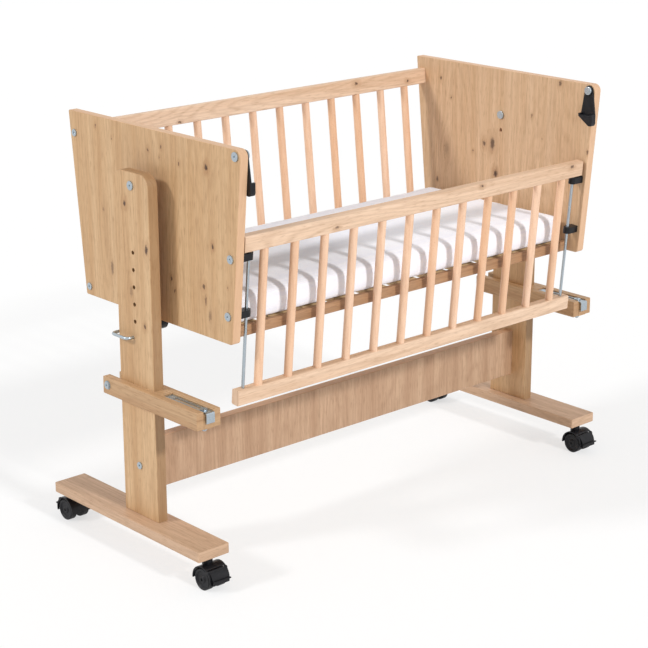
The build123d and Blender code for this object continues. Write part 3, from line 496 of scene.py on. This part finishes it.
# %% Zinc
ZINC_BRIGHT, ZINC_DULL = "#CBD4DA", "#8F9CA6"
BLOOM_WAVES, BLOOM_SPAN = 420.0, (0.3, 0.7)
SMOOTH_ZINC, HAZY_ZINC = 0.22, 0.42
zinc, tree, shader = new_finish("bright_zinc_plated_steel")
bloom = noise(tree, add(tree, "TexCoord").outputs["Object"], BLOOM_WAVES, detail=4.0).outputs[0]
tree.links.new(mixed(tree, bloom, linear(ZINC_BRIGHT), linear(ZINC_DULL)), shader.inputs["Base Color"])
shader.inputs["Metallic"].default_value = 1.0
tree.links.new(ramp(tree, bloom, BLOOM_SPAN, SMOOTH_ZINC, HAZY_ZINC), shader.inputs["Roughness"])
raised(tree, shader, bloom, strength=0.1, distance=0.1 * MM)
print("zinc blooms a metre", BLOOM_WAVES)

# %% [markdown]
# ## Moulded nylon
# Latches, guides and caster bodies are black glass-filled nylon from a mould with a spark-eroded
# texture: deep grey-black, half matt, with a fine grain about half a millimetre across.
# The wheel rims are softer and duller, so one recipe with another roughness and grain serves both.

# %% Nylon and tread
DUST_TONE = "#34343A"
DUST_WAVES, DUST_SPAN, DUST_SHARE = 60.0, (0.35, 0.8), 0.25
PLASTIC_SHINE = 0.28


def moulded(name, body, roughness, grit_mm, height_mm):
    """A moulded plastic with an eroded grain of that pitch and height."""
    finish, tree, shader = new_finish(name)
    point = add(tree, "TexCoord").outputs["Object"]
    grit = noise(tree, point, 1 / (grit_mm * MM)).outputs[0]
    haze = noise(tree, point, DUST_WAVES, detail=3.0).outputs[0]
    dust = ramp(tree, haze, DUST_SPAN, high=DUST_SHARE)
    tree.links.new(mixed(tree, dust, linear(body), linear(DUST_TONE)), shader.inputs["Base Color"])
    shader.inputs["Roughness"].default_value = roughness
    shader.inputs["IOR"].default_value = 1.5
    shader.inputs["Specular IOR Level"].default_value = PLASTIC_SHINE
    raised(tree, shader, grit, strength=0.3, distance=height_mm * MM)
    return finish


nylon = moulded("black_moulded_nylon", "#0E0E12", roughness=0.36, grit_mm=0.5, height_mm=0.04)
tread = moulded("black_wheel_tread", "#131316", roughness=0.5, grit_mm=0.8, height_mm=0.06)
print("plastics", nylon.name, tread.name)

# %% [markdown]
# ## Giving every solid its finish
# A node keeps its own mesh and takes one finish. The names say which: boards, rails, dowels, slats,
# plastic and wheels. All that is left is zinc.

# %% Finishes on the solids
arms = [f"{side}_{piece}" for side in ("left", "right") for piece in ("outer_arm", "inner_arm", "arm_block")]
plastic_endings = ("_housing", "_brake", "_latch", "_guides", "_catches", "_stems")
groups = (
    (foil_stretcher, ("stretcher",)),
    (foil_foot, ("left_foot", "right_foot")),
    (foil_arm, arms),
    (foil_rail, [n for n in nodes if n.endswith("_rail")]),
    (foil_base, ("front_base_rail", "back_base_rail")),
    (beech, ("back_dowels", "gate_dowels")),
    (plywood, ("base_slats",)),
    (tread, [n for n in nodes if n.endswith("_wheels")]),
    (nylon, [n for n in nodes if n.endswith(plastic_endings)]),
)
for finish, names in groups:
    finish_of.update(dict.fromkeys(names, finish))
for name, node in nodes.items():
    node.data.materials.clear()
    node.data.materials.append(finish_of.get(name, zinc))
metal = sorted(n for n in nodes if n not in finish_of and n != "mattress")
print("metal nodes", len(metal), metal)

# %% [markdown]
# ## The mattress cover
# The cover is a white knit with a honeycomb of fine stitches, seen as small dimples. Yarn by yarn it
# would take millions of faces. Cells of about a stitch's size, pressed in a little, look alike from here.

# %% Knitted cover
STITCH = 2.6 * MM
STITCH_SCATTER, DIMPLE_SPAN = 0.35, (0.1, 0.6)
# The dimples get a greyer white, painted shade in their hollows, besides their bump.
KNIT_WHITE, KNIT_PAINTED_SHADE = "#FFFFFF", "#F0F2FC"
knit, tree, shader = new_finish("white_knitted_cover")
point = add(tree, "TexCoord").outputs["Object"]
cell = add(tree, "TexVoronoi", {"Vector": point, "Scale": 1 / STITCH, "Randomness": STITCH_SCATTER})
dimple = ramp(tree, cell.outputs["Distance"], DIMPLE_SPAN)
tree.links.new(mixed(tree, dimple, linear(KNIT_WHITE), linear(KNIT_PAINTED_SHADE)), shader.inputs["Base Color"])
shader.inputs["Roughness"].default_value = 0.85
shader.inputs["Sheen Weight"].default_value = 0.15
raised(tree, shader, dimple, strength=0.5, distance=-0.6 * MM)
print("stitch", STITCH)

# %% [markdown]
# ## A skin for the mattress
# Under the cover is a firm foam block, so its top is only slightly crowned. The cloth starts as the
# block's own outline, a few millimetres smaller than the room it has, and cut into even squares, because
# cloth moves well only where its faces are all about one size.

# %% Mattress skin
VOXEL = 6 * MM
SHRINK = 3.0 * MM
low, high = (np.array(corner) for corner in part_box("mattress"))
middle, half = (low + high) / 2, (high - low) / 2
cover = bpy.data.objects.new("mattress_knitted_cover", nodes["mattress"].data.copy())
bpy.context.scene.collection.objects.link(cover)
cover.data.materials.clear()
cover.data.materials.append(knit)
points = np.array([v.co for v in cover.data.vertices])
points = middle + (points - middle) * (half - SHRINK) / half
cover.data.vertices.foreach_set("co", points.ravel())
bpy.context.view_layer.objects.active = cover
remesh = cover.modifiers.new("voxels", "REMESH")
remesh.mode = "VOXEL"
remesh.voxel_size = VOXEL
bpy.ops.object.modifier_apply(modifier="voxels")
print("mattress points", len(cover.data.vertices))

# %% [markdown]
# ## Pressure under the cover
# Soft edges, and sides that draw in between the corners, come from cloth under a little pressure better
# than from modelling by hand. No point may move further than a cap, or leave the mattress's own room by
# more than fabric may.

# %% Cloth
PRESSURE, TENSION, BENDING = 4.0, 25.0, 2.0
FRAMES = 20
CAP = 5.0 * MM
SEAT_GAP, BULGE = 0.2 * MM, 4 * MM
SMALLEST_MOVE = 1e-9
before = np.array([v.co for v in cover.data.vertices])
cloth = cover.modifiers.new("pressure", "CLOTH")
cloth.settings.use_pressure = True
cloth.settings.uniform_pressure_force = PRESSURE
cloth.settings.effector_weights.gravity = 0.0
cloth.settings.tension_stiffness = TENSION
cloth.settings.bending_stiffness = BENDING
for step in range(1, FRAMES + 1):
    bpy.context.scene.frame_set(step)
bpy.ops.object.modifier_apply(modifier="pressure")
after = np.array([v.co for v in cover.data.vertices])
move = after - before
length = np.linalg.norm(move, axis=1, keepdims=True)
after = before + move * np.minimum(1, CAP / np.maximum(length, SMALLEST_MOVE))
after = np.minimum(np.maximum(after, low + SEAT_GAP), high + BULGE)
cover.data.vertices.foreach_set("co", after.ravel())
bpy.context.scene.frame_set(1)
print("cloth moved up to", round(float(length.max()), 4))

# %% [markdown]
# ## Handing the mattress over
# The cover is smoothed once more, so that no facet shows at its round edges. It rides on the cradle
# and stands in for the plain block.

# %% Mattress hand-over
for polygon in cover.data.polygons:
    polygon.use_smooth = True
smooth = cover.modifiers.new("round", "SUBSURF")
smooth.levels = smooth.render_levels = 1
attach(cover, "cradle")
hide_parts("mattress")
print("mattress cover", cover.name)

# %% [markdown]
# ## Floor
# The crib stands on white studio paper that runs out of sight. A plain white plane would turn grey far
# off, so it shows itself to the camera as part light and part paper: the light keeps it white, and the
# paper keeps the soft shadow under the crib.

# %% Floor
PAPER_SHARE = 0.36
FLOOR_SIZE = 40.0


def seen_directly(tree):
    """1 for a ray from the camera, a mirror or clear glass, and 0 for one that only carries light."""
    path = add(tree, "LightPath").outputs
    mirrored = maths(tree, "MAXIMUM", path["Is Camera Ray"], path["Is Glossy Ray"])
    return maths(tree, "MAXIMUM", mirrored, path["Is Transmission Ray"])


paper, tree, shader = new_finish("white_studio_paper")
shader.inputs["Base Color"].default_value = linear("#FFFFFF")
shader.inputs["Roughness"].default_value = 0.9
share = maths(tree, "MULTIPLY", seen_directly(tree), 1 - PAPER_SHARE)
glow = add(tree, "Emission", {"Color": linear("#FFFFFF"), "Strength": 1.0})
blend = add(tree, "MixShader", {0: share, 1: shader.outputs[0], 2: glow.outputs[0]})
output = [n for n in tree.nodes if n.type == "OUTPUT_MATERIAL"][0]
tree.links.new(blend.outputs[0], output.inputs[0])
bpy.ops.mesh.primitive_plane_add(size=FLOOR_SIZE, location=(0.0, 0.0, 0.0))
floor = bpy.context.active_object
floor.name = "studio_floor"
floor.data.materials.append(paper)
print("floor at", floor.location[2])

# %% [markdown]
# ## Sky
# A white studio throws light from all sides. The world does that evenly, at about half strength as
# light, and at full strength as what the camera sees behind the crib.

# %% Sky
SKY_AS_LIGHT, SKY_AS_SEEN = 0.48, 1.0
world = bpy.data.worlds.new("white_sky")
bpy.context.scene.world = world
world.use_nodes = True
tree = world.node_tree
tree.nodes.clear()
strength = ramp(tree, seen_directly(tree), (0.0, 1.0), SKY_AS_LIGHT, SKY_AS_SEEN)
sky = add(tree, "Background", {"Color": linear("#FFFFFF"), "Strength": strength})
add(tree, "OutputWorld", {"Surface": sky.outputs[0]})
print("sky", world.name)

# %% [markdown]
# ## Lamps
# The dowels' narrow shadows on the mattress ask for a key straight from the front, and the post's shadow
# on the end panel for a softer one from the left and a little behind. Both are far away, so sun lamps
# fit, and the angle of a sun sets how soft its shadows are.


# %% Lamps
def lamp(name, towards, strength, angle_deg):
    """A far round lamp that shines along a direction, in watts a square metre."""
    data = bpy.data.lights.new(name, "SUN")
    data.energy = strength
    data.angle = math.radians(angle_deg)
    made = bpy.data.objects.new(name, data)
    bpy.context.scene.collection.objects.link(made)
    made.rotation_euler = Vector(towards).to_track_quat("-Z", "Y").to_euler()
    return made


front_key = lamp("front_key", (0.0, 1.0, -0.62), strength=1.75, angle_deg=6.0)
left_key = lamp("left_key", (1.0, -0.36, -0.7), strength=1.3, angle_deg=9.0)
print("lamps", front_key.data.energy, left_key.data.energy)

# %% [markdown]
# ## Camera
# The camera's place, direction and angle of view were worked out from the straight edges of the crib in
# its photo. They are written as numbers, since a camera set by eye wouldn't lay the edges on each other.

# %% Camera
EYE = Vector((-2444.29, -2665.06, 1487.69)) * MM
AHEAD = Vector((0.63703927, 0.71037676, -0.29924208))
ROLL = math.radians(-0.2)
VIEW_ANGLE = math.radians(19.847)
right = AHEAD.cross(Vector(UP)).normalized()
top = right.cross(AHEAD)
right_rolled = right * math.cos(ROLL) + top * math.sin(ROLL)
top_rolled = right_rolled.cross(AHEAD)
turn = Matrix((right_rolled, top_rolled, -AHEAD)).transposed().to_4x4()
lens = bpy.data.cameras.new("camera")
lens.sensor_fit = "HORIZONTAL"
lens.angle = VIEW_ANGLE
camera = bpy.data.objects.new("camera", lens)
camera.matrix_world = Matrix.Translation(EYE) @ turn
bpy.context.scene.collection.objects.link(camera)
bpy.context.scene.camera = camera
bpy.context.scene.view_settings.view_transform = "Standard"
print("camera", [round(v, 3) for v in camera.location])
